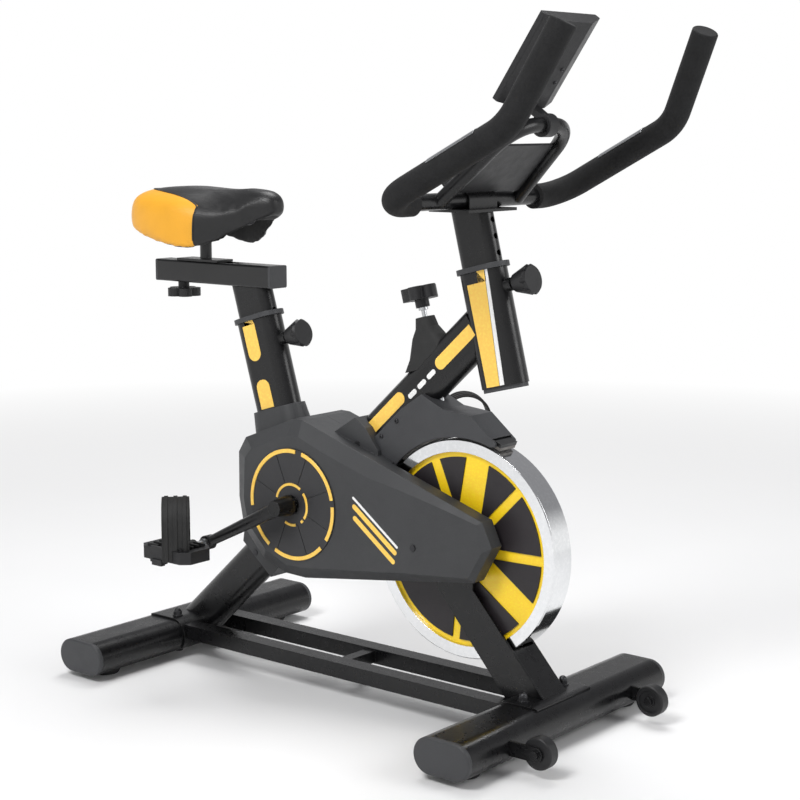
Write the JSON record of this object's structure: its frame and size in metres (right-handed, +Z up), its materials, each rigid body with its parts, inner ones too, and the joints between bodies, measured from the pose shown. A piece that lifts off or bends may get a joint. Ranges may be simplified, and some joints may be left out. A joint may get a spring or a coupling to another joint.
{
  "type": "exercise bike",
  "caption": "Upright exercise bike with a spoked flywheel in front, side covers over a belt drive, strapped pedals, sliding saddle and a raised handlebar with console.",
  "frame": {"origin": "on the floor, under the middle of the bike's bounding box", "axes": "+X towards the handlebar and flywheel, +Y towards the rider's left, +Z up"},
  "size_m": [0.9871, 0.52, 1.0698],
  "materials": {
    "black_paint": "satin powder coat",
    "grey_plastic": "fine texture",
    "black_plastic": "fine texture",
    "yellow_paint": "satin",
    "black_panel": "satin",
    "rim_chrome": "polished",
    "steel": "brushed",
    "rubber": "matte",
    "foam": "grained foam",
    "saddle_cover": "grained",
    "screen": "glossy",
    "felt": "felt"
  },
  "bodies": {
    "frame": {"rear_stabiliser": "black_paint", "front_stabiliser": "black_paint", "stabiliser_end_caps": "grey_plastic", "stabiliser_feet": "rubber", "base_rails": "black_paint", "base_saddle_plates": "black_paint", "base_bolts": "steel", "main_tube": "black_paint", "seat_tube": "black_paint", "head_tube": "black_paint", "tube_sleeves": "grey_plastic", "fork_plates": "black_paint", "axle_bearings": "steel", "drive_belt": "rubber", "right_cover": "black_plastic", "left_cover": "black_plastic", "cover_rosettes": "grey_plastic", "panel_screws": "steel", "flywheel_guard": "grey_plastic", "brake_boot": "rubber", "transport_brackets": "black_paint"},
    "flywheel": {"flywheel_rim": "rim_chrome", "flywheel_web": "yellow_paint", "flywheel_panels": "black_panel", "flywheel_axle": "steel"},
    "crank": {"crank_spindles": "steel", "crank_arms": "black_paint", "drive_pulley": "steel"},
    "right_pedal": {"right_pedal": "black_plastic", "right_strap": "rubber"},
    "left_pedal": {"left_pedal": "black_plastic", "left_strap": "rubber"},
    "seat_post": {"seat_post": "black_paint", "seat_beam": "black_panel", "beam_end_caps": "grey_plastic"},
    "saddle_slider": {"saddle_slider": "black_panel"},
    "slider_knob": {"slider_knob": "black_plastic"},
    "saddle": {"saddle_clamp": "steel", "saddle_rails": "rim_chrome", "saddle_base": "black_plastic", "saddle_cushion": "saddle_cover"},
    "handlebar": {"handlebar_post": "black_paint", "handlebar_tube": "black_paint", "handlebar_grips": "foam", "pulse_sensors": "steel", "console_stay": "black_paint", "book_tray": "black_paint"},
    "console": {"console_housing": "black_plastic", "console_front": "black_plastic", "console_screen": "screen"},
    "mode_button": {"mode_button": "black_plastic"},
    "seat_pin": {"seat_pin": "black_plastic"},
    "head_pin": {"head_pin": "black_plastic"},
    "brake_rod": {"brake_rod": "steel"},
    "brake_knob": {"brake_knob": "black_plastic"},
    "brake_shoe": {"brake_shoe": "black_panel", "brake_pad": "felt"},
    "right_roller": {"right_transport_wheel": "black_plastic"},
    "left_roller": {"left_transport_wheel": "black_plastic"}
  },
  "joints": [
    {"name": "flywheel_spin", "type": "hinge", "parent": "frame", "child": "flywheel", "pos_m": [0.1934, 0, 0.2717], "axis": [0, 1, 0], "continuous": true},
    {"name": "crank_spin", "type": "hinge", "parent": "frame", "child": "crank", "pos_m": [-0.1135, 0, 0.3085], "axis": [0, 1, 0], "continuous": true},
    {"name": "right_pedal_spin", "type": "hinge", "parent": "crank", "child": "right_pedal", "pos_m": [-0.26497, -0.186, 0.23132], "axis": [0, 1, 0], "continuous": true},
    {"name": "left_pedal_spin", "type": "hinge", "parent": "crank", "child": "left_pedal", "pos_m": [0.03797, 0.186, 0.38568], "axis": [0, 1, 0], "continuous": true},
    {"name": "seat_height", "type": "slide", "parent": "frame", "child": "seat_post", "axis": [-0.2857, 0, 0.9583], "range_m": [0, 0.15]},
    {"name": "saddle_fore_aft", "type": "slide", "parent": "seat_post", "child": "saddle_slider", "axis": [1, 0, 0], "range_m": [-0.015, 0.045]},
    {"name": "slider_knob_turn", "type": "hinge", "parent": "saddle_slider", "child": "slider_knob", "pos_m": [-0.4301, 0, 0.64], "axis": [0, 0, 1], "range_deg": [0, 360]},
    {"name": "saddle_tilt", "type": "hinge", "parent": "saddle_slider", "child": "saddle", "pos_m": [-0.3745, 0, 0.738], "axis": [0, 1, 0], "range_deg": [-15, 15]},
    {"name": "handlebar_height", "type": "slide", "parent": "frame", "child": "handlebar", "axis": [-0.2436, 0, 0.9699], "range_m": [0, 0.1]},
    {"name": "console_tilt", "type": "hinge", "parent": "handlebar", "child": "console", "pos_m": [0.3225, 0, 0.9125], "axis": [0, 1, 0], "range_deg": [-20, 15]},
    {"name": "mode_press", "type": "slide", "parent": "console", "child": "mode_button", "axis": [0.8211, 0, -0.5707], "range_m": [0, 0.0015], "stiffness_N_per_m": 800, "springref_m": -0.0005},
    {"name": "seat_pin_pull", "type": "slide", "parent": "frame", "child": "seat_pin", "axis": [0.9583, 0, 0.2857], "range_m": [0, 0.008], "stiffness_N_per_m": 1500, "springref_m": -0.004},
    {"name": "head_pin_pull", "type": "slide", "parent": "frame", "child": "head_pin", "axis": [0.9699, 0, 0.2436], "range_m": [0, 0.008], "stiffness_N_per_m": 1500, "springref_m": -0.004},
    {"name": "brake_push", "type": "slide", "parent": "frame", "child": "brake_rod", "axis": [0.2538, 0, -0.9673], "range_m": [0, 0.0013], "stiffness_N_per_m": 9000, "springref_m": -0.002},
    {"name": "brake_knob_turn", "type": "hinge", "parent": "brake_rod", "child": "brake_knob", "pos_m": [0.0924, 0, 0.65667], "axis": [0.2538, 0, -0.9673], "range_deg": [0, 360]},
    {"name": "brake_shoe_feed", "type": "slide", "parent": "brake_rod", "child": "brake_shoe", "axis": [0.2538, 0, -0.9673], "range_m": [0, 0.00125]},
    {"name": "right_roller_spin", "type": "hinge", "parent": "frame", "child": "right_roller", "pos_m": [0.4305, -0.149, 0.0384], "axis": [0, 1, 0], "continuous": true},
    {"name": "left_roller_spin", "type": "hinge", "parent": "frame", "child": "left_roller", "pos_m": [0.4305, 0.149, 0.0384], "axis": [0, 1, 0], "continuous": true}
  ],
  "couplings": [
    {"joint": "crank_spin", "follows": "flywheel_spin", "ratio": 0.31818},
    {"joint": "brake_shoe_feed", "follows": "brake_knob_turn", "m_per_rad": 0.00019894}
  ]
}
